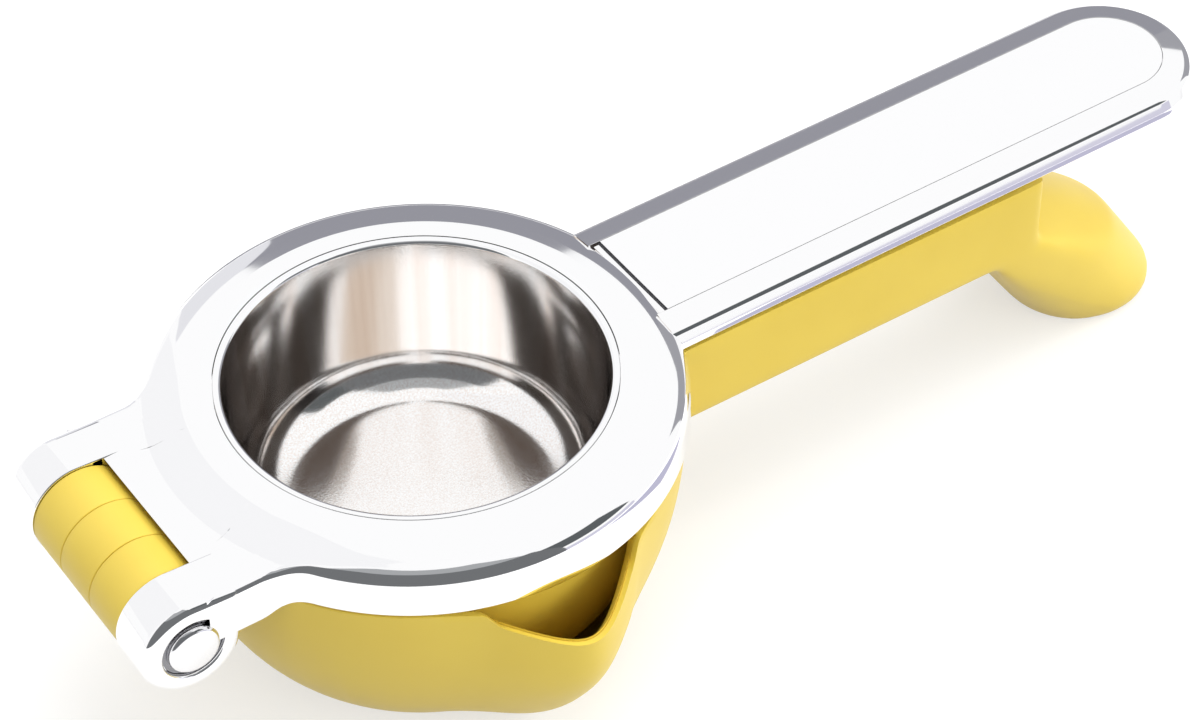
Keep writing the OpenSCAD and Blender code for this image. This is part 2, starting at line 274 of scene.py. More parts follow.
def raise_by(tree, shader, pattern, strength, depth_mm):
    bump = add(tree, "ShaderNodeBump", {"Height": pattern}, Strength=strength,
               Distance=depth_mm * MM)
    tree.links.new(bump.outputs["Normal"], shader.inputs["Normal"])


# %% [markdown]
# ## Chrome plating
# The upper lever is a zinc casting, polished and then plated with bright chromium. It is a
# nearly perfect cool mirror. Polishing leaves it a trace of waviness over a few millimetres,
# and handling leaves faint smears, so roughness and bump vary a little.

# %% Chrome
chrome, tree, place, shader = finish("chrome plating on polished zinc")
shader.inputs["Metallic"].default_value = 1.0
shader.inputs["Base Color"].default_value = linear("#FCFCFD")
SMEAR_MM = 18.0
WAVE_MM = 9.0
vary_roughness(tree, shader, noise(tree, place, SMEAR_MM, detail=3.0), low=0.03, high=0.07)
raise_by(tree, shader, noise(tree, place, WAVE_MM, detail=0.0), strength=0.02, depth_mm=0.3)
print("made", chrome.name)

# %% [markdown]
# ## Face plate
# The strip let into the handle is rolled sheet, polished along its length and plated. Fine
# lengthwise polishing marks are drawn as noise that is stretched along X. Real marks are
# hundredths of a millimetre apart, and are drawn coarser here so that they show at all.

# %% Polished sheet
sheet_chrome, tree, place, shader = finish("polished plated sheet")
shader.inputs["Metallic"].default_value = 1.0
shader.inputs["Base Color"].default_value = linear("#FDFDFE")
MARK_MM = 0.35
stretch = add(tree, "ShaderNodeMapping", {"Vector": place}, Scale=(0.02, 1.0, 1.0))
marks = noise(tree, stretch.outputs["Vector"], MARK_MM, detail=2.0)
vary_roughness(tree, shader, marks, low=0.04, high=0.09)
print("made", sheet_chrome.name)

# %% [markdown]
# ## Bedding that paints the seam's shade
# A dark matt strip stands as a bedding compound under the plate's start. It paints the shade in
# the seam between the plate and the bar's lip, is slightly uneven, and shows only as a line a
# third of a millimetre wide.

# %% Bedding strip of painted seam shade
painted_seam_shade, tree, place, shader = finish("dark strip of painted seam shade")
SEAM_SHADE_NOISE_MM = 0.8
# the strip's dark greys are painted shade, with a slight random unevenness
tone = add(tree, "ShaderNodeValToRGB", {"Fac": noise(tree, place, SEAM_SHADE_NOISE_MM, detail=2.0)})
tone.color_ramp.elements[0].color = linear("#2B2B2E")
tone.color_ramp.elements[1].color = linear("#45454A")
tree.links.new(tone.outputs["Color"], shader.inputs["Base Color"])
shader.inputs["Roughness"].default_value = 0.7
print("made", painted_seam_shade.name)

# %% [markdown]
# ## Drawn steel
# The cup is pressed from stainless sheet. Drawing it pulls the metal down the wall and leaves
# upright streaks, and the punch leaves the floor slightly grained. The streaks are noise on
# the direction around the cup, so they run straight down the wall. They vary the roughness
# and, a little, the colour.

# %% Drawn steel
drawn_steel, tree, place, shader = finish("drawn stainless steel")
shader.inputs["Metallic"].default_value = 1.0
flat = add(tree, "ShaderNodeMapping", {"Vector": place}, Scale=(1.0, 1.0, 0.0))
around = add(tree, "ShaderNodeVectorMath", {0: flat.outputs["Vector"]}, operation="NORMALIZE")
STREAKS_AROUND = 7.0
streak = add(tree, "ShaderNodeTexNoise", {"Vector": around.outputs["Vector"]},
             Scale=STREAKS_AROUND, Detail=4.0)
GRAIN_MM = 0.3
grain = noise(tree, place, GRAIN_MM, detail=2.0)

# the streaks end where the wall turns into the floor, and grain takes over
FLOOR_MARK = RING_TOP - CUP_DEPTH + 3.0
WALL_MARK = RING_TOP - CUP_DEPTH + 7.0
height = add(tree, "ShaderNodeSeparateXYZ", {"Vector": place})
on_wall = add(tree, "ShaderNodeMapRange", {"Value": height.outputs["Z"]},
              interpolation_type="SMOOTHSTEP")
on_wall.inputs["From Min"].default_value = FLOOR_MARK * MM
on_wall.inputs["From Max"].default_value = WALL_MARK * MM
marks = add(tree, "ShaderNodeMix", {"Factor": on_wall.outputs["Result"],
                                    "A": grain, "B": streak.outputs["Fac"]})
tone = add(tree, "ShaderNodeValToRGB", {"Fac": marks.outputs["Result"]})
tone.color_ramp.elements[0].position = 0.34
tone.color_ramp.elements[0].color = linear("#F6F0EC")
tone.color_ramp.elements[1].position = 0.62
tone.color_ramp.elements[1].color = linear("#FFFFFF")
tree.links.new(tone.outputs["Color"], shader.inputs["Base Color"])
raise_by(tree, shader, grain, strength=0.12, depth_mm=0.05)
vary_roughness(tree, shader, marks.outputs["Result"], low=0.08, high=0.15)
print("made", drawn_steel.name)

# %% [markdown]
# ## Satin plastic
# The lower lever is moulded from glass-filled nylon, coloured lemon yellow right through.
# The mould is finely spark-eroded, so the skin has a soft sheen instead of a gloss. The
# texture is about 0.2 mm, drawn here at 0.4 mm, with a faint mottle over centimetres.

# %% Satin plastic
lemon_nylon, tree, place, shader = finish("lemon yellow nylon")
MOTTLE_MM = 14.0
TEXTURE_MM = 0.4
mottle = noise(tree, place, MOTTLE_MM, detail=2.0)

# a colour mix has its two colours in sockets 6 and 7, and its result in socket 2
mix = add(tree, "ShaderNodeMix", {"Factor": mottle}, data_type="RGBA")
mix.inputs[6].default_value = linear("#DDC044")
mix.inputs[7].default_value = linear("#E6CB52")
tree.links.new(mix.outputs[2], shader.inputs["Base Color"])
raise_by(tree, shader, noise(tree, place, TEXTURE_MM, detail=2.0), strength=0.12, depth_mm=0.05)
vary_roughness(tree, shader, mottle, low=0.36, high=0.46)
shader.inputs["IOR"].default_value = 1.5
print("made", lemon_nylon.name)

# %% [markdown]
# ## Turned steel
# The pin, its cap and the washers are turned on a lathe, which leaves fine rings about the
# pin's axis. The rings are a wave on the distance from the axis.

# %% Turned steel
TURNED_MM = 0.5
WAVE_PERIOD = 0.314   # in metres, of a ring wave at Scale 1


def turned_steel(name, colour, low, high):
    material, tree, place, shader = finish(name)
    shader.inputs["Metallic"].default_value = 1.0
    shader.inputs["Base Color"].default_value = linear(colour)
    centre = add(tree, "ShaderNodeMapping", {"Vector": place},
                 Location=(-HINGE_X * MM, 0, -HINGE_Z * MM))
    rings = add(tree, "ShaderNodeTexWave", {"Vector": centre.outputs["Vector"]},
                wave_type="RINGS", rings_direction="Y",
                Scale=WAVE_PERIOD / (TURNED_MM * MM), Distortion=0.6)
    vary_roughness(tree, shader, rings.outputs["Fac"], low, high)
    return material


pin_steel = turned_steel("turned and polished steel", "#F0F0F2", 0.08, 0.16)
# the washers' turned steel is darker than the pin's, which paints the shade in the ears' sunk
# seats around the pin's head
seat_shade_steel = turned_steel("turned steel darkened as painted seat shade", "#8E8E92", 0.22, 0.34)
print("made", pin_steel.name, "and", seat_shade_steel.name)

# %% [markdown]
# ## Ring and tongue
# The casting's ring and its hinge tongue are one smooth skin: a flat land around the cup, a
# band that slopes into a rounded edge, and a hollow shoulder down to the lower tongue. It
# could be cut together with booleans, but their seams show in a mirror. Here one section is
# spun as a closed loop, and then every point slides along its own ray to the outline of ring
# and tongue together, and takes its height from one smooth surface.

# %% The outline of ring and tongue, seen from above
FILLET_R = 8.0
FLANK_INSET = 0.05
FLANK_Y = EAR_OUT - FLANK_INSET
FILLET_Y = FLANK_Y + FILLET_R
FILLET_X = -math.sqrt((RING_R + FILLET_R) ** 2 - FILLET_Y ** 2)
FILLET_TURN = math.atan2(FILLET_Y, FILLET_X)
NOTCH_R = 9.1


def notch_x(z):
    """The slot for the barrel is round about the pin."""
    return HINGE_X + math.sqrt(max(NOTCH_R ** 2 - (z - HINGE_Z) ** 2, 0))


NOTCH_TURN = math.atan2(EAR_IN, notch_x(TONGUE_TOP))
FLANK_TURN = math.atan2(FLANK_Y, FILLET_X)
ARM_PAST_PIN = 2.9
ARM_END_X = HINGE_X + ARM_PAST_PIN
ARM_TURN = math.atan2(FLANK_Y, ARM_END_X)


def ray_to_outline(turn, inset=0.0, z=TONGUE_TOP):
    """Distance from the ring's centre to the outline at a turn of 0 to pi, set in by inset."""
    dx, dy = math.cos(turn), math.sin(turn)
    if turn <= FILLET_TURN:
        return RING_R - inset
    if turn <= FLANK_TURN:
        along = dx * FILLET_X + dy * FILLET_Y
        rest = FILLET_X ** 2 + FILLET_Y ** 2 - (FILLET_R + inset) ** 2
        return along - math.sqrt(max(along * along - rest, 0))
    if turn <= ARM_TURN:
        return (FLANK_Y - inset) / dy
    if turn <= NOTCH_TURN:
        return ARM_END_X / dx
    return (notch_x(z) + inset) / dx


# %% The height of the skin
def ease(t):
    t = min(max(t, 0), 1)
    return t * t * (3 - 2 * t)


CREASE_R = 34.7
CREASE_W = 0.6
BEND_R = 37.0
FIRST_TILT = math.radians(8)
SLOPE_TILT = math.radians(22)
SLOPE_TO_R = RING_R - RING_EDGE_R * (1 - math.sin(SLOPE_TILT))
STEEPER = (math.tan(SLOPE_TILT) - math.tan(FIRST_TILT)) / (SLOPE_TO_R - BEND_R)
SHOULDER_FROM_R = 35.4
SHOULDER_TO_R = 43.2
TONGUE_FROM = math.radians(133)
TONGUE_BLEND = math.radians(20)
TONGUE_EDGE_R = 1.4
NOTCH_EDGE_R = 0.35
UNDERSIDE_BLEND = 4.0


def ring_drop(r):
    """A soft crease, a slope of 8 degrees, and from the bend outwards a slowly steeper one."""
    crease = min(max(r - CREASE_R + CREASE_W / 2, 0), CREASE_W)
    past = max(r - CREASE_R - CREASE_W / 2, 0)
    bend = max(r - BEND_R, 0)
    return math.tan(FIRST_TILT) * (crease ** 2 / (2 * CREASE_W) + past) + STEEPER * bend ** 2 / 2


def skin_height(r, w):
    """w: 0 on the ring, 1 on the tongue."""
    ring = RING_TOP - ring_drop(r)
    shoulder = (r - SHOULDER_FROM_R) / (SHOULDER_TO_R - SHOULDER_FROM_R)
    tongue = RING_TOP - (RING_TOP - TONGUE_TOP) * ease(shoulder)
    return ring * (1 - w) + tongue * w


def edge_of(turn):
    """Share of the tongue, edge radius, tilt where the edge starts, and height below."""
    if turn > NOTCH_TURN:
        return 1.0, NOTCH_EDGE_R, 0.0, WEB_LOW
    w = ease((turn - TONGUE_FROM) / TONGUE_BLEND)
    past_ring = ray_to_outline(turn) - RING_R
    low = RING_LOW + (TONGUE_LOW - RING_LOW) * ease(past_ring / UNDERSIDE_BLEND)
    return w, RING_EDGE_R * (1 - w) + TONGUE_EDGE_R * w, SLOPE_TILT * (1 - w), low


# %% One section of the casting
LAND_ROWS = (32.4, 33.6, 34.4, 34.55, 34.7, 34.85, 35.0, 35.2)
SPREAD_ROWS = 24
EDGE_ROWS = 14
SIDE_ROWS = 4
LOW_EDGE = 0.3
COLLAR_R = 33.7
COLLAR_LOW = RING_LOW + 2
CASTING_WALL = 2.4
CASTING_ROOF = 3.0
ROOF_BEND = 1.0


def casting_rows(turn):
    w, edge_r, tilt, low = edge_of(turn)
    rows = [(SEAT_R, RING_TOP)]
    rows += [(r, skin_height(r, w)) for r in LAND_ROWS]
    rim = ray_to_outline(turn, edge_r * (1 - math.sin(tilt)))
    for i in range(1, SPREAD_ROWS):
        r = LAND_ROWS[-1] + (rim - LAND_ROWS[-1]) * i / SPREAD_ROWS
        rows.append((r, skin_height(r, w)))
    rim_z = skin_height(rim, w)
    for i in range(EDGE_ROWS + 1):
        t = tilt + (math.pi / 2 - tilt) * i / EDGE_ROWS
        z = rim_z - edge_r * (math.cos(tilt) - math.cos(t))
        rows.append((ray_to_outline(turn, edge_r * (1 - math.sin(t)), z), z))
    side_top = rows[-1][1]
    for i in range(1, SIDE_ROWS + 1):
        z = side_top + (low + LOW_EDGE - side_top) * i / SIDE_ROWS
        rows.append((ray_to_outline(turn, 0, z), z))
    rows += [(ray_to_outline(turn, LOW_EDGE * 0.3, low), low + LOW_EDGE * 0.3),
             (ray_to_outline(turn, LOW_EDGE, low), low)]

    # the hollow underside, and the collar around the cup
    wall = ray_to_outline(turn, CASTING_WALL, low)
    roof = min(RING_TOP - RING_SLOPE, skin_height(wall, w)) - CASTING_ROOF
    bore = CUP_R + 0.1
    rows += [(wall, low), (wall, roof), (wall - ROOF_BEND, roof), (COLLAR_R + ROOF_BEND, roof),
             (COLLAR_R, roof), (COLLAR_R, COLLAR_LOW), (bore, COLLAR_LOW),
             (bore, RING_TOP - CUP_WALL), (SEAT_R, RING_TOP - CUP_WALL)]
    return rows


# %% Turns of the sections, with one exactly at each corner of the outline
HALF_STEPS = 360
turns = [math.pi * i / HALF_STEPS for i in range(HALF_STEPS + 1)]
for corner in (FILLET_TURN, FLANK_TURN, ARM_TURN):
    turns[round(corner / math.pi * HALF_STEPS)] = corner
beside = int(NOTCH_TURN / math.pi * HALF_STEPS)
HAIR = 0.00002
turns[beside] = NOTCH_TURN - HAIR
turns[beside + 1] = NOTCH_TURN + HAIR
sections = [casting_rows(turn) for turn in turns]
print("rows in a section", len(sections[0]))

# %% Spin the section and slide it to the outline
bm = bmesh.new()
chain(bm, [(r, 0, z, 0) for r, z in sections[0]], closed=True)
row_of = bm.verts.layers.int.new("row")
for row, vert in enumerate(bm.verts):
    vert[row_of] = row
bmesh.ops.spin(bm, geom=bm.verts[:] + bm.edges[:], cent=(0, 0, 0), axis=(0, 0, 1),
               angle=math.tau, steps=2 * HALF_STEPS, use_merge=True)
for vert in bm.verts:
    step = round(math.atan2(vert.co.y, vert.co.x) / math.pi * HALF_STEPS)
    turn = math.copysign(turns[abs(step)], step)
    r, z = sections[abs(step)][vert[row_of]]
    vert.co = (r * math.cos(turn), r * math.sin(turn), z)

# %% The inner cheek of each arm, flat beside the barrel
NOTCH_TOP_X = notch_x(TONGUE_TOP)
for side in (-1, 1):
    ys = sorted((side * EAR_IN, side * (EAR_IN + CASTING_WALL)))
    block(bm, (ARM_END_X, ys[0], TONGUE_LOW), (NOTCH_TOP_X + 0.05, ys[1], TONGUE_TOP - 0.01))
    block(bm, (NOTCH_TOP_X - 0.05, ys[0], TONGUE_LOW), (-RING_R - 0.5, ys[1], WEB_LOW + 0.5))
ring_and_tongue = piece("press_ring_and_tongue", bm, "upper", "upper_arm", chrome, sharp=30)
steady_normals(ring_and_tongue)

# %% [markdown]
# ## Ears
# Each ear is a short thick boss about the pin, faced flat at its outer end, with a rounded
# edge and a sunk seat for the pin's head. On the tongue's side its outline runs out in a
# straight line that touches the circle and meets the tongue's top. The section is a closed
# chain spun about the pin, and its rim is then slid outwards to that line.

# %% Ears
def spin_on_pin(bm, steps=120):
    lathe(bm, steps, (HINGE_X, 0, HINGE_Z), (0, 1, 0))


SEAT_BORE_R = 5.2
SEAT_BORE_D = 1.6
SEAT_EDGE = 1.0
TOUCH_TURN = math.radians(86.5)


def ear_outline(turn):
    """Distance from the pin to the ear's outline: a circle with a square-ended toe."""
    if not 0 < turn < TOUCH_TURN:
        return EAR_R
    return EAR_R / math.cos(min(turn, TOUCH_TURN - turn))


bm = bmesh.new()
for side in (-1, 1):
    seat_y = EAR_OUT - SEAT_BORE_D
    profile = [(PIN_BORE_R, EAR_IN, 0), (EAR_R, EAR_IN, 0.25), (EAR_R, EAR_OUT, 1.8),
               (SEAT_BORE_R, EAR_OUT, 0.55), (SEAT_BORE_R, seat_y, 0), (PIN_BORE_R, seat_y, 0)]
    ear = bmesh.new()
    chain(ear, [(HINGE_X, side * y, HINGE_Z + r, c) for r, y, c in profile], closed=True)
    spin_on_pin(ear, 240)
    for v in ear.verts:
        along, up = v.co.x - HINGE_X, v.co.z - HINGE_Z
        r, turn = math.hypot(along, up), math.atan2(up, along)
        if r > SEAT_BORE_R + SEAT_EDGE:
            r += ear_outline(turn) - EAR_R
            v.co.x = HINGE_X + r * math.cos(turn)
            v.co.z = HINGE_Z + r * math.sin(turn)
    join(bm, ear)
piece("hinge_ears", bm, "upper", "upper_arm", chrome, sharp=35)

# %% [markdown]
# ## Handle bar
# The handle is a flat bar with a half-round tip, and rises by almost half a degree towards it.
# Its top has a flat floor for the face plate and margins that slope down to a rounded edge, and
# its sides draw in towards the top. Half of its section is a chain that is spun by half a turn
# about the tip's centre, and the two ends of that turn are drawn out straight to the ring. So
# the margin runs around the tip without a joint.

# %% A bar from its half section
TIP_X = HANDLE_TIP - HANDLE_HALF
BAR_START = 38.2
HANDLE_RISE = 0.0075
RISE = Matrix((
    (1, 0, 0, 0),
    (0, 1, 0, 0),
    (HANDLE_RISE, 0, 1, -HANDLE_RISE * RING_R),
    (0, 0, 0, 1)))


def bar(bm, section, start_x):
    """section: (distance from the middle line, z, corner setback), from the middle outwards."""
    chain(bm, [(TIP_X, -out, z, c) for out, z, c in section])
    first = list(bm.edges)
    turned = bmesh.ops.spin(bm, geom=bm.verts[:] + bm.edges[:], cent=(TIP_X, 0, 0),
                            axis=(0, 0, 1), angle=math.pi, steps=64)
    last = [g for g in turned["geom_last"] if isinstance(g, bmesh.types.BMEdge)]
    for edges in (first, last):
        drawn = bmesh.ops.extrude_edge_only(bm, edges=edges)["geom"]
        ends = [g for g in drawn if isinstance(g, bmesh.types.BMVert)]
        bmesh.ops.translate(bm, vec=(start_x - TIP_X, 0, 0), verts=ends)
    bmesh.ops.remove_doubles(bm, verts=bm.verts, dist=MERGE_MM)
    open_edges = [e for e in bm.edges if len(e.link_faces) == 1]
    bmesh.ops.contextual_create(bm, geom=open_edges)
    print("bar faces", len(bm.faces), "still open", sum(e.is_boundary for e in bm.edges))


# %% Handle bar
POCKET_D = 0.8
POCKET_HALF = 9.6
SHOULDER_Y = 13.95
SHOULDER_Z = HANDLE_TOP - 0.64
DRAFT_Z = HANDLE_LOW + 1.2
pocket_z = HANDLE_TOP - POCKET_D
bm = bmesh.new()
bar(bm, [(0, pocket_z, 0), (POCKET_HALF, pocket_z, 0), (POCKET_HALF, HANDLE_TOP, 0.06),
         (SHOULDER_Y, SHOULDER_Z, 0.9), (HANDLE_HALF, DRAFT_Z, 0.25),
         (HANDLE_HALF, HANDLE_LOW, 0.35), (0, HANDLE_LOW, 0)], BAR_START)

# the spine and its short cross ribs under the bar
SPINE_START = 45.8
SPINE_END = 106.1
SPINE_HALF = 1.2
SPINE_D = 5.0
CROSS_COUNT = 5
CROSS_T = 2.4
CROSS_HALF = 8.9
CROSS_D = 2.5
root_z = HANDLE_LOW + 0.5
block(bm, (SPINE_START, -SPINE_HALF, HANDLE_LOW - SPINE_D), (SPINE_END, SPINE_HALF, root_z))
for i in range(1, CROSS_COUNT + 1):
    x = SPINE_START + (SPINE_END - SPINE_START) * i / (CROSS_COUNT + 1)
    block(bm, (x, -CROSS_HALF, HANDLE_LOW - CROSS_D), (x + CROSS_T, CROSS_HALF, root_z))

# a low lip meets the ring, and behind it the dark strip paints the seam's shade as a line
LIP_X = 39.0
SEAM_SHADE_X = 40.0
SEAM_SHADE_W = 0.34
BLOCK_FACES = 6
under = HANDLE_TOP - 1.6
block(bm, (LIP_X, -POCKET_HALF, under), (SEAM_SHADE_X, POCKET_HALF, HANDLE_TOP - 0.4))
block(bm, (SEAM_SHADE_X, -POCKET_HALF, under), (SEAM_SHADE_X + SEAM_SHADE_W, POCKET_HALF, HANDLE_TOP - 0.3))
# the strip's faces take the dark finish that paints the seam's shade
for face in bm.faces[-BLOCK_FACES:]:
    face.material_index = 1
bmesh.ops.transform(bm, matrix=RISE, verts=bm.verts)
handle_bar = piece("upper_handle_bar", bm, "upper", "upper_arm", chrome, sharp=30)
handle_bar.data.materials.append(painted_seam_shade)
steady_normals(handle_bar)

# %% [markdown]
# ## Face plate
# The plate lies in the bar's pocket with a hair of a gap all round. It is the same kind of
# bar, only thinner and narrower, with its top edge just broken.

# %% Face plate
GAP = 0.06
PLATE_HALF = POCKET_HALF - GAP
PLATE_TOP = HANDLE_TOP - 0.005
PLATE_LOW = HANDLE_TOP - POCKET_D + 0.01
bm = bmesh.new()
bar(bm, [(0, PLATE_TOP, 0), (PLATE_HALF, PLATE_TOP, 0.06), (PLATE_HALF, PLATE_LOW, 0),
         (0, PLATE_LOW, 0)], SEAM_SHADE_X + SEAM_SHADE_W)
bmesh.ops.transform(bm, matrix=RISE, verts=bm.verts)
face_plate = piece("handle_face_plate", bm, "upper", "handle_plate", sheet_chrome, sharp=30)
steady_normals(face_plate)

# %% [markdown]
# ## Press cup
# The cup hangs by a flange in the ring's seat. Its wall draws in slightly, a round corner
# leads into a floor that is just dished, and its mouth is rolled over a small radius. The
# half section is one closed chain with rounded corners, spun about the cup's axis.

# %% Press cup
CUP_FLOOR_Z = RING_TOP - CUP_DEPTH
CUP_LOW_R = 27.8
DISH = 2.4
FLANGE_R = SEAT_R - 0.12
HALF_WAY_R = CUP_LOW_R * 0.5
half_way_z = CUP_FLOOR_Z + DISH * 0.25
corner_z = CUP_FLOOR_Z + DISH
bm = bmesh.new()
profile = [(0, CUP_FLOOR_Z, 0), (HALF_WAY_R, half_way_z, 6.0), (CUP_LOW_R, corner_z, 6.5),
           (MOUTH_R, RING_TOP, 0.7), (FLANGE_R, RING_TOP, 0.12),
           (FLANGE_R, RING_TOP - CUP_WALL, 0), (CUP_R, RING_TOP - CUP_WALL, 0.4),
           (CUP_LOW_R + CUP_WALL, corner_z - CUP_WALL, 6.0),
           (HALF_WAY_R, half_way_z - CUP_WALL, 6.0), (0, CUP_FLOOR_Z - CUP_WALL, 0)]
chain(bm, [(r, 0, z, c) for r, z, c in profile])
lathe(bm, 240)

# the rolled mouth and the flange are plated, as the ring is
PLATED_FROM = RING_TOP - 0.6
for face in bm.faces:
    if min(v.co.z for v in face.verts) > PLATED_FROM:
        face.material_index = 1
press_cup = piece("press_cup_shell", bm, "upper", "press_cup", drawn_steel, sharp=40)
press_cup.data.materials.append(chrome)

# %% [markdown]
# ## Pin, cap and washers
# The pin's head and the cap on its far end are low buttons in the ears' seats, each on a
# washer. Head, shank and cap are spun about the pin's axis from short chains. The washers'
# solids already have their true shape, so they keep their meshes and only take a finish.

# %% Pin and cap
HEAD_R = 4.3
HEAD_IN = 21.0
HEAD_OUT = 22.65
PIN_R = 2.9
CAP_R = PIN_R + 0.05
bm = bmesh.new()
profile = [(0, -HEAD_OUT, 0), (HEAD_R, -HEAD_OUT + 0.25, 0.9), (HEAD_R, -HEAD_IN, 0.1),
           (PIN_R, -HEAD_IN, 0), (PIN_R, EAR_OUT - 0.3, 0.2), (0, EAR_OUT - 0.3, 0)]
chain(bm, [(HINGE_X, y, HINGE_Z + r, c) for r, y, c in profile])
spin_on_pin(bm)
piece("headed_pin", bm, "upper", "hinge_pin", pin_steel, sharp=35)

bm = bmesh.new()
profile = [(0, HEAD_OUT, 0), (HEAD_R, HEAD_OUT - 0.25, 0.9), (HEAD_R, HEAD_IN, 0.1),
           (CAP_R, HEAD_IN, 0), (CAP_R, EAR_OUT - 0.2, 0), (0, EAR_OUT - 0.2, 0)]
chain(bm, [(HINGE_X, y, HINGE_Z + r, c) for r, y, c in profile])
spin_on_pin(bm)
piece("pin_end_cap", bm, "upper", "pin_cap", pin_steel, sharp=35)

# the washers take the darkened steel that paints the shade in the seats
finish_solid("front_washer", seat_shade_steel)
finish_solid("rear_washer", seat_shade_steel)

# %% [markdown]
# ## Spacers
# A plastic sleeve fills the barrel on each side of the knuckle. Its ends are broken, so a
# fine seam shows where sleeve and knuckle meet.

# %% Spacers
SLEEVE_IN = KNUCKLE_HALF + 0.1
SLEEVE_OUT = EAR_IN - 0.1
BROKEN_EDGE = 0.22


def sleeve(y0, y1):
    bm = bmesh.new()
    profile = [(PIN_BORE_R, y0, 0), (BARREL_R, y0, BROKEN_EDGE), (BARREL_R, y1, BROKEN_EDGE),
               (PIN_BORE_R, y1, 0)]
    chain(bm, [(HINGE_X, y, HINGE_Z + r, c) for r, y, c in profile], closed=True)
    spin_on_pin(bm)
    return bm


piece("front_barrel_spacer", sleeve(-SLEEVE_OUT, -SLEEVE_IN), "lower", "front_spacer",
      lemon_nylon, sharp=35)
piece("rear_barrel_spacer", sleeve(SLEEVE_IN, SLEEVE_OUT), "lower", "rear_spacer",
      lemon_nylon, sharp=35)

# %% [markdown]
# ## Bowl and spouts
# The bowl's side is a quarter of an ellipse that rolls under to a flat foot, with a spout
# pulled out of it on each side, as if drawn from soft clay. The wall's section is spun, and
# then the points near each spout are pushed outwards to a rounded V that is blended into the
# round bowl, and the spout's rim is lowered to make the pouring lip.

# %% The bowl's section
BOWL_WALL = 2.6
OUTER_ROWS = 26
HOLLOW_FROM_ROW = 7
RIM_T = 1.3
RIM_EDGE = 0.15
RIM_DROP = 1.0
LEDGE_Z = RIM_Z - 1.4
LEDGE_SLACK = 0.1


def draw_on(bm, last, points):
    """Goes on from the point last with a line through the points, and gives its end."""
    for point in points:
        v = bm.verts.new(point)
        bm.edges.new((last, v))
        last = v
    return last


bm = bmesh.new()
start = bm.verts.new((1, 0, 0))
bmesh.ops.spin(bm, geom=[start], cent=(0, 0, 0), axis=(0, 1, 0), angle=math.pi / 2,
               steps=OUTER_ROWS)
outer_arc = sorted(bm.verts, key=lambda v: v.co.z)
for v in outer_arc:
    v.co = (FOOT_R + (RIM_R - FOOT_R) * v.co.x, 0, RIM_Z * (1 + v.co.z))
outer_arc.sort(key=lambda v: v.co.z)
inner_arc = [(v.co.x - BOWL_WALL, 0, v.co.z + 0.3)
             for v in reversed(outer_arc[HOLLOW_FROM_ROW:-1]) if v.co.z <= LEDGE_Z - LEDGE_SLACK]
rim_z = RIM_Z - RIM_DROP
outer_arc[-1].co.z = rim_z
last = draw_on(bm, outer_arc[-1], [
    (RIM_R - RIM_EDGE, 0, rim_z + RIM_EDGE), (RIM_R - RIM_T + RIM_EDGE, 0, rim_z + RIM_EDGE),
    (RIM_R - RIM_T, 0, rim_z), (RIM_R - RIM_T, 0, LEDGE_Z)])
last = draw_on(bm, last, inner_arc)
draw_on(bm, last, [(last.co.x - 4.0, 0, FLOOR_T), (0, 0, FLOOR_T)])
foot = bm.verts.new((0, 0, 0))
bm.edges.new((foot, outer_arc[0]))
print("section points", len(bm.verts))

# %% Spin the bowl and pull out the spouts
SPOUT_NOSE_FOOT = 30.8
SPOUT_NOSE_RIM = 49.3
SPOUT_CURVE = 2.7
SPOUT_PITCH_FOOT = 1.5
SPOUT_PITCH = 0.97
SPOUT_BLEND = 2.4
NOSE_FOOT = 8.0
NOSE_NARROWS = 2.5
INSIDE_NARROWS = 0.4
INSIDE_BACK = 0.8
BELLY_Z = 11.0
LIP_FROM = 40.2
LIP_FALL = 0.5
LIP_DIP = 1.5
DIP_FROM_Z = 12.0
LEDGE_FILL = 0.95
KEPT_R = 12.0
SPOUT_SIDE = 0.8


def bowl_r(z):
    fall = min(max((RIM_Z - z) / RIM_Z, 0), 1)
    return FOOT_R + (RIM_R - FOOT_R) * math.sqrt(max(1 - fall * fall, 0))


def spout_at(u, z, wall):
    """How far out the spout stands, at u to its side, at height z and wall deep in its wall."""
    up = min(max(z / RIM_Z, 0), 1)
    nose_out = SPOUT_NOSE_FOOT + (SPOUT_NOSE_RIM - SPOUT_NOSE_FOOT) * (1 - (1 - up) ** SPOUT_CURVE)
    low = ease(z / BELLY_Z)
    pitch = SPOUT_PITCH_FOOT * (1 - low) + SPOUT_PITCH * low
    nose = NOSE_FOOT - NOSE_NARROWS * up - wall * INSIDE_NARROWS
    back = wall * INSIDE_BACK + pitch * (math.sqrt(u * u + nose * nose) - nose)
    return nose_out - back


def smooth_max(a, b, reach):
    h = max(reach - abs(a - b), 0) / reach
    return max(a, b) + h * h * reach / 4


lathe(bm, 360)

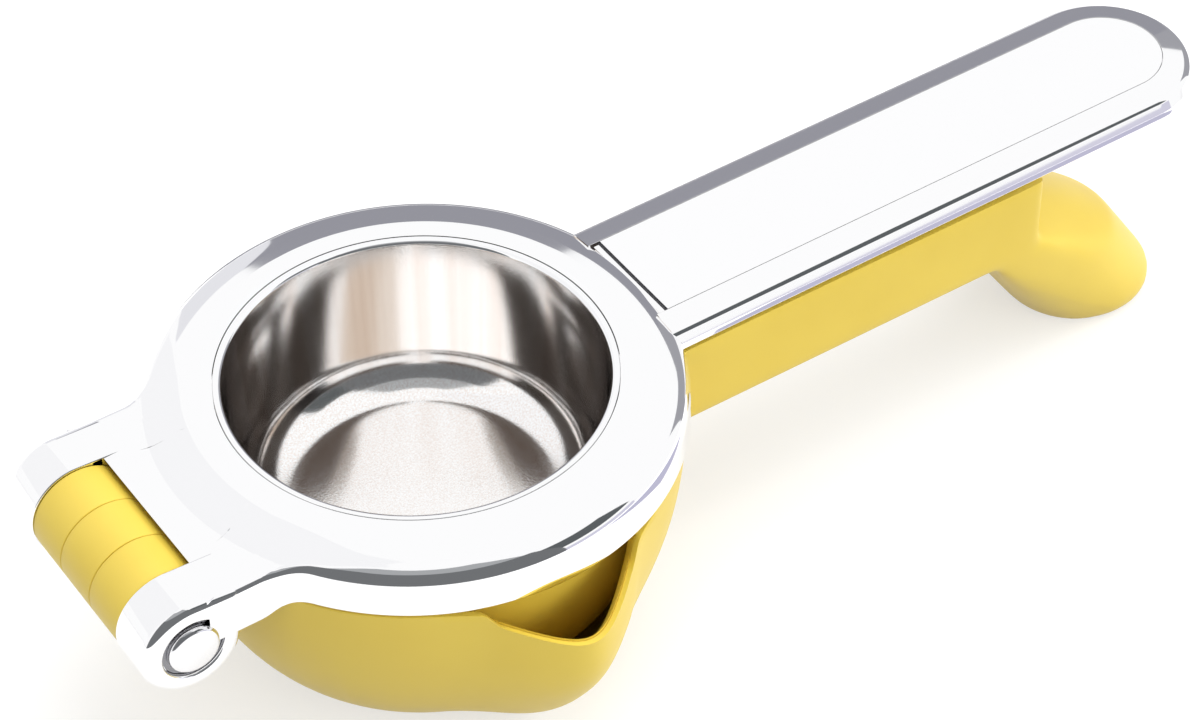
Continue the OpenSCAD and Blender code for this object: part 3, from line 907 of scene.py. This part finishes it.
# the floor, the hollow's bottom and the sides away from the spouts stay round
for v in bm.verts:
    u, out, z = v.co.x, abs(v.co.y), v.co.z
    r = math.hypot(u, out)
    if r < KEPT_R or out < abs(u) * SPOUT_SIDE:
        continue
    wall = 0.0 if r > bowl_r(z) - 0.4 or z < 0.5 else min(bowl_r(z) - r, BOWL_WALL)
    if z < 0.01 and r < FOOT_R - 1:
        continue
    if wall > 0 and r < bowl_r(max(z, 4)) - BOWL_WALL - 2.5:
        continue
    target = spout_at(u, z, wall)
    pushed = smooth_max(out, target, SPOUT_BLEND)
    if z > RIM_Z - 2 and pushed - out < 0.02:
        pushed = out
    lip = max(spout_at(u, RIM_Z, 0) - LIP_FROM, 0)
    dip = LIP_FALL * lip + LIP_DIP * ease(lip / 2)
    v.co.y = math.copysign(pushed, v.co.y)
    on_ledge = abs(z - LEDGE_Z) < LEDGE_SLACK
    filled = LEDGE_FILL * ease(lip / 2) if on_ledge else 0
    v.co.z = z + filled - dip * ease((z - DIP_FROM_Z) / (RIM_Z - DIP_FROM_Z))
bowl = bm
print("bowl faces", len(bowl.faces))

# %% [markdown]
# ## Grip and heel
# The grip is a deep bar whose end bends down into a rounded heel. Both are roughed out as
# simple solids: a box, and a hull around a block at its end and four circles, two at the foot,
# one at the bulge and one at the crown. They are fused by a voxel remesh and relaxed, which
# rounds every edge the way a moulding's edges are rounded. The trough and its pockets are then
# cut in sharply from above.

# %% Rough grip and heel
GRIP_START = 36.0
HEEL_BLOCK = 9.0
HEEL_BLOCK_TOP = 28.0
BULGE_X, BULGE_Z, BULGE_R = 123.6, 17.0, 13.9
CROWN_X, CROWN_Z, CROWN_R = 110.0, 31.0, 8.0
VOXEL = 0.75
rough = bmesh.new()
block(rough, (GRIP_START, -GRIP_HALF, GRIP_LOW), (GRIP_END, GRIP_HALF, GRIP_TOP + 0.2))
corners = block(rough, (GRIP_END - HEEL_BLOCK, -GRIP_HALF, GRIP_LOW + 0.1),
                (GRIP_END + 1.0, GRIP_HALF, HEEL_BLOCK_TOP))
circles = []
for x, z, radius in ((HEEL_X, 0.0, HEEL_R - 0.65), (HEEL_X, 2.2, HEEL_R + 0.25),
                     (BULGE_X, BULGE_Z, BULGE_R), (CROWN_X, CROWN_Z, CROWN_R)):
    ring = bmesh.ops.create_circle(rough, segments=64, radius=radius)["verts"]
    bmesh.ops.translate(rough, vec=(x, 0, z), verts=ring)
    circles += ring
hull = bmesh.ops.convex_hull(rough, input=corners + circles)
loose = [g for g in hull["geom_interior"] if isinstance(g, bmesh.types.BMVert)]
bmesh.ops.delete(rough, geom=loose, context="VERTS")
bmesh.ops.recalc_face_normals(rough, faces=rough.faces)
grip = put("grip", mesh_from("rough grip", rough))
fuse = grip.modifiers.new("fuse", "REMESH")
fuse.mode = "VOXEL"
fuse.voxel_size = VOXEL
relax = grip.modifiers.new("relax", "SMOOTH")
relax.factor = 0.6
relax.iterations = 20

# %% Cut the trough and trim the grip to the bowl
RIB_T = 2.4
GRIP_WALL = 2.6
GRIP_CUT = 42.1
POCKETS = 5
TROUGH_D = 8.0
RING_ROOM_R = RING_R + 0.5
BOWL_ROOM_R = 39.9
ABOVE_ALL = 60
cutter = bmesh.new()
trough_low = GRIP_TOP - TROUGH_D
x0 = RING_ROOM_R + GRIP_WALL
x1 = GRIP_END - GRIP_WALL
block(cutter, (x0, -GRIP_HALF + GRIP_WALL, trough_low),
      (x1, GRIP_HALF - GRIP_WALL, GRIP_TOP + 9))
pocket_l = (x1 - x0 + RIB_T) / POCKETS - RIB_T
for i in range(POCKETS):
    for side in (-1, 1):
        ys = sorted((side * RIB_T / 2, side * (GRIP_HALF - GRIP_WALL - 0.01)))
        x = x0 + i * (pocket_l + RIB_T)
        block(cutter, (x + 0.01, ys[0], GRIP_LOW + GRIP_WALL),
              (x + pocket_l - 0.01, ys[1], trough_low + 0.5))
trough = put("trough", mesh_from("trough", cutter))

seat = bmesh.new()
profile = [(0, -5), (BOWL_ROOM_R, -5), (BOWL_ROOM_R, RIM_Z), (RING_ROOM_R, RIM_Z),
           (RING_ROOM_R, ABOVE_ALL), (0, ABOVE_ALL)]
chain(seat, [(r, 0, z, 0) for r, z in profile])
lathe(seat, 180)
bmesh.ops.recalc_face_normals(seat, faces=seat.faces)
bowl_room = put("bowl room", mesh_from("seat", seat))

lid = bmesh.new()
block(lid, (30, -30, GRIP_CUT), (130, 30, ABOVE_ALL))
top_cut = put("top cut", mesh_from("lid", lid))

for tool in (top_cut, trough, bowl_room):
    cut = grip.modifiers.new(tool.name, "BOOLEAN")
    cut.operation = "DIFFERENCE"
    cut.solver = "EXACT"
    cut.use_self = tool is trough
    cut.object = tool
bpy.context.view_layer.update()
shaped = grip.evaluated_get(bpy.context.evaluated_depsgraph_get())
grip_mesh = bpy.data.meshes.new_from_object(shaped)
for tool in (grip, trough, bowl_room, top_cut):
    bpy.data.objects.remove(tool)
print("grip faces", len(grip_mesh.polygons))

# %% [markdown]
# ## Neck and knuckle
# A short neck leaves the bowl's rim under the tongue and carries the middle of the hinge
# barrel. It is two boxes with broken edges, and a sleeve like those beside it.

# %% Neck and knuckle, and the lower lever as one piece
bowl.from_mesh(grip_mesh)
bpy.data.meshes.remove(grip_mesh)
NECK_LOW = HINGE_Z - BARREL_R
NECK_TOP = WEB_LOW - 0.5
NECK_HALF = 12.7
for low, high in (((-43.85, -NECK_HALF, NECK_LOW), (-38.2, NECK_HALF, NECK_TOP)),
                  ((HINGE_X, -KNUCKLE_HALF, NECK_LOW), (-43.0, KNUCKLE_HALF, NECK_TOP))):
    part = bmesh.new()
    block(part, low, high)
    long_edges = [e for e in part.edges if abs(e.verts[0].co.y - e.verts[1].co.y) < 0.1]
    bmesh.ops.bevel(part, geom=long_edges, affect="EDGES", offset=0.5, segments=3, profile=0.5,
                    material=-1)
    join(bowl, part)
join(bowl, sleeve(-KNUCKLE_HALF, KNUCKLE_HALF))
piece("bowl_grip_and_heel", bowl, "lower", "lower_arm", lemon_nylon, sharp=38)

# %% [markdown]
# ## Strainer
# The strainer's solid already has its true shape and its holes, so it keeps its mesh and only
# takes the yellow nylon.

# %% Strainer
finish_solid("seed_strainer", lemon_nylon)

# %% [markdown]
# ## Floor
# The floor is a large pale sheet. For the camera and in the chrome it is brightened so that it
# meets the white background, and it keeps the tool's soft shadow.

# %% What is seen, and not only lights the plastic
def seen_directly(tree):
    """1 for rays from the camera, from a mirroring or through something clear, or else 0."""
    path = add(tree, "ShaderNodeLightPath")
    seen = path.outputs["Is Camera Ray"]
    for ray in ("Is Glossy Ray", "Is Transmission Ray"):
        either = add(tree, "ShaderNodeMath", {0: seen, 1: path.outputs[ray]}, operation="MAXIMUM")
        seen = either.outputs[0]
    return seen


# %% Floor
FLOOR_HALF_M = 3.0
FLOOR_GLOW = 0.58
bm = bmesh.new()
bmesh.ops.create_grid(bm, x_segments=1, y_segments=1, size=FLOOR_HALF_M)
floor = put("floor", mesh_from("floor", bm))
paper, tree, place, shader = finish("matt white paper")
shader.inputs["Base Color"].default_value = linear("#B4B4B4")
shader.inputs["Roughness"].default_value = 0.9
shader.inputs["Specular IOR Level"].default_value = 0.1
lift = add(tree, "ShaderNodeMath", {0: seen_directly(tree)}, operation="MULTIPLY")
lift.inputs[1].default_value = FLOOR_GLOW
shader.inputs["Emission Color"].default_value = (1, 1, 1, 1)
tree.links.new(lift.outputs[0], shader.inputs["Emission Strength"])
floor.data.materials.append(paper)

# %% [markdown]
# ## Light
# A broad lamp hangs over the tool and weaker ones stand at its sides and before it. They light
# the plastic but are not mirrored, so that what chrome shows is only the white surroundings
# and a few dark cards. Such cards stand around polished metal in every studio: they draw its
# edges.

# %% Lamps and world
LAMP_AIM = Vector((0.03, 0, 0.02))
WORLD_LIGHT = 0.66


def lamp(name, spot, size, power):
    data = bpy.data.lights.new(name, "AREA")
    data.shape = "DISK"
    data.size = size
    data.energy = power
    thing = put(name, data)
    thing.location = spot
    thing.rotation_euler = (LAMP_AIM - Vector(spot)).to_track_quat("-Z", "Y").to_euler()
    thing.visible_glossy = False


lamp("top lamp", (0.2, 0.15, 0.9), size=0.8, power=5.2)
lamp("right lamp", (0.85, -0.3, 0.5), size=0.6, power=3.6)
lamp("left lamp", (-0.7, -0.4, 0.6), size=0.6, power=1.4)
lamp("front lamp", (0.5, -0.8, 0.3), size=0.6, power=3.0)

world = bpy.data.worlds.new("studio")
bpy.context.scene.world = world
world.use_nodes = True
tree = world.node_tree
tree.nodes.clear()
level = add(tree, "ShaderNodeMapRange", {"Value": seen_directly(tree)})
level.inputs["To Min"].default_value = WORLD_LIGHT
sky = add(tree, "ShaderNodeBackground", {"Strength": level.outputs["Result"]},
          Color=(1, 1, 1, 1))
add(tree, "ShaderNodeOutputWorld", {"Surface": sky.outputs[0]})

# %% [markdown]
# ## Cards
# The metal mirrors these cards, and nothing else sees them. The outside of the casting shows
# the first mirroring, and the cup's inside, where light goes from wall to wall, shows the
# later ones as well. A ray's depth counts its mirrorings, and a test of that depth picks which
# of them show a card.

# %% Which mirroring shows a card
FIRST, SECOND, LATER, THIRD, DEEP = "first", "second", "later", "third", "deep"
DEPTHS = {FIRST: ("LESS_THAN", 1.5), SECOND: ("COMPARE", 2.0), LATER: ("GREATER_THAN", 1.5),
          THIRD: ("GREATER_THAN", 2.5), DEEP: ("GREATER_THAN", 3.5)}

# how near to its value a COMPARE test passes
SAME_DEPTH = 0.5


def hang(name, mesh, colour, mirroring, strength=1.0):
    thing = put(name, mesh)
    material = bpy.data.materials.new(name)
    material.use_nodes = True
    tree = material.node_tree
    tree.nodes.clear()
    glow = add(tree, "ShaderNodeEmission", Color=linear(colour), Strength=strength)
    clear = add(tree, "ShaderNodeBsdfTransparent")
    path = add(tree, "ShaderNodeLightPath")
    test, depth = DEPTHS[mirroring]
    shows = add(tree, "ShaderNodeMath", {0: path.outputs["Ray Depth"]}, operation=test)
    shows.inputs[1].default_value = depth
    shows.inputs[2].default_value = SAME_DEPTH
    shown = add(tree, "ShaderNodeMixShader", {0: shows.outputs[0], 1: clear.outputs[0],
                                              2: glow.outputs[0]})
    add(tree, "ShaderNodeOutputMaterial", {"Surface": shown.outputs[0]})
    mesh.materials.append(material)
    thing.visible_camera = False
    thing.visible_diffuse = False
    thing.visible_shadow = False
    thing.visible_transmission = False


# %% Cards around the tool
STEP_DEGREES = 6
flat_ahead = Vector((ahead.x, ahead.y, 0)).normalized()


def card(name, low, high, first, last, colour, mirroring, distance=0.9, glow=1.0):
    """A curved card between two heights over the horizon and two directions, all in degrees,
    where 0 is straight ahead of the camera and 90 its right hand."""
    bm = bmesh.new()
    turn = math.radians(first)
    start = flat_ahead * math.cos(turn) + right * math.sin(turn)
    ends = []
    for rise in (math.radians(low), math.radians(high)):
        spot = start * math.cos(rise) * distance
        spot.z = math.sin(rise) * distance
        ends.append(bm.verts.new(spot))
    bm.edges.new(ends)
    bmesh.ops.spin(bm, geom=bm.verts[:] + bm.edges[:], cent=(0, 0, 0), axis=(0, 0, -1),
                   angle=math.radians(last - first),
                   steps=math.ceil((last - first) / STEP_DEGREES))
    hang(name, mesh_from(name, bm), colour, mirroring, glow)


card("far card", -8, 31, -16, 25, "#96969E", FIRST)
card("far card left end", -8, 31, -30, -16, "#E6E6EA", FIRST)
card("far card right end", -8, 31, 25, 60, "#A0A0A6", FIRST)
for i, colour in enumerate(("#F8F8F9", "#F0F0F2", "#E7E7EB", "#DEDEE3")):
    card(f"left veil {i + 1}", 16 + 5 * i, 84 - 5 * i, -112 + 6 * i, -33 - 4 * i, colour, FIRST,
         distance=0.9 - 0.01 * i)
card("near card right", 21, 49, 95, 126, "#5C6062", FIRST)
card("violet card", -8, 12, 95, 126, "#D2D0E0", FIRST)
card("near card", -8, 56, 126, 230, "#707274", FIRST)
card("near card high", 56, 78, 130, 225, "#A8AAAC", FIRST)
card("cup room right", 8, 52, 104, 150, "#37322F", LATER)
card("cup room left", 8, 52, 212, 258, "#252222", LATER)
card("cup room near", 8, 50, 150, 212, "#4A4542", LATER)
card("cup floor right", 36, 88, 15, 106, "#554B45", SECOND)
card("cup floor right end", 52.5, 72, 106, 118, "#AAA49F", SECOND)
card("cup floor left end", 52.5, 72, 238, 250, "#AAA49F", SECOND)
card("cup floor left", 36, 88, 250, 345, "#554B45", SECOND)
for where, first, last in (("right", 104, 158), ("middle", 172, 190), ("left", 205, 258)):
    card(f"cup wall dark {where}", 8, 84, first, last, "#37322F", THIRD, distance=0.89)
card("cup wall beige", 8, 84, -84, -44, "#DCCDBE", THIRD)
card("cup wall pale beige", 8, 84, -44, -20, "#EDE4DA", THIRD)
card("cup wall bright", 8, 84, -20, 100, "#FFFFFF", THIRD, glow=1.25)
card("cup depths", 4, 86, 0, 360, "#3A3634", DEEP, distance=0.87)

# %% Sheets on the table, which steep sides mirror
SHEET_Z = 0.0006


def sheet(name, near, far, slant, colour):
    """From the corner near to the corner far, slanted along x, just over the table."""
    bm = bmesh.new()
    edge = bm.edges.new([bm.verts.new((x, near[1], SHEET_Z)) for x in (near[0], far[0])])
    drawn = bmesh.ops.extrude_edge_only(bm, edges=[edge])["geom"]
    ends = [g for g in drawn if isinstance(g, bmesh.types.BMVert)]
    bmesh.ops.translate(bm, vec=(slant, far[1] - near[1], 0), verts=ends)
    hang(name, mesh_from(name, bm), colour, FIRST)


sheet("violet sheet", (0.066, -0.040), (0.186, -0.300), 0.140, "#C0BED4")
sheet("far sheet", (-0.020, 0.060), (0.200, 0.380), 0.100, "#96969E")

# %% View
scene = bpy.context.scene
scene.view_settings.view_transform = "Standard"
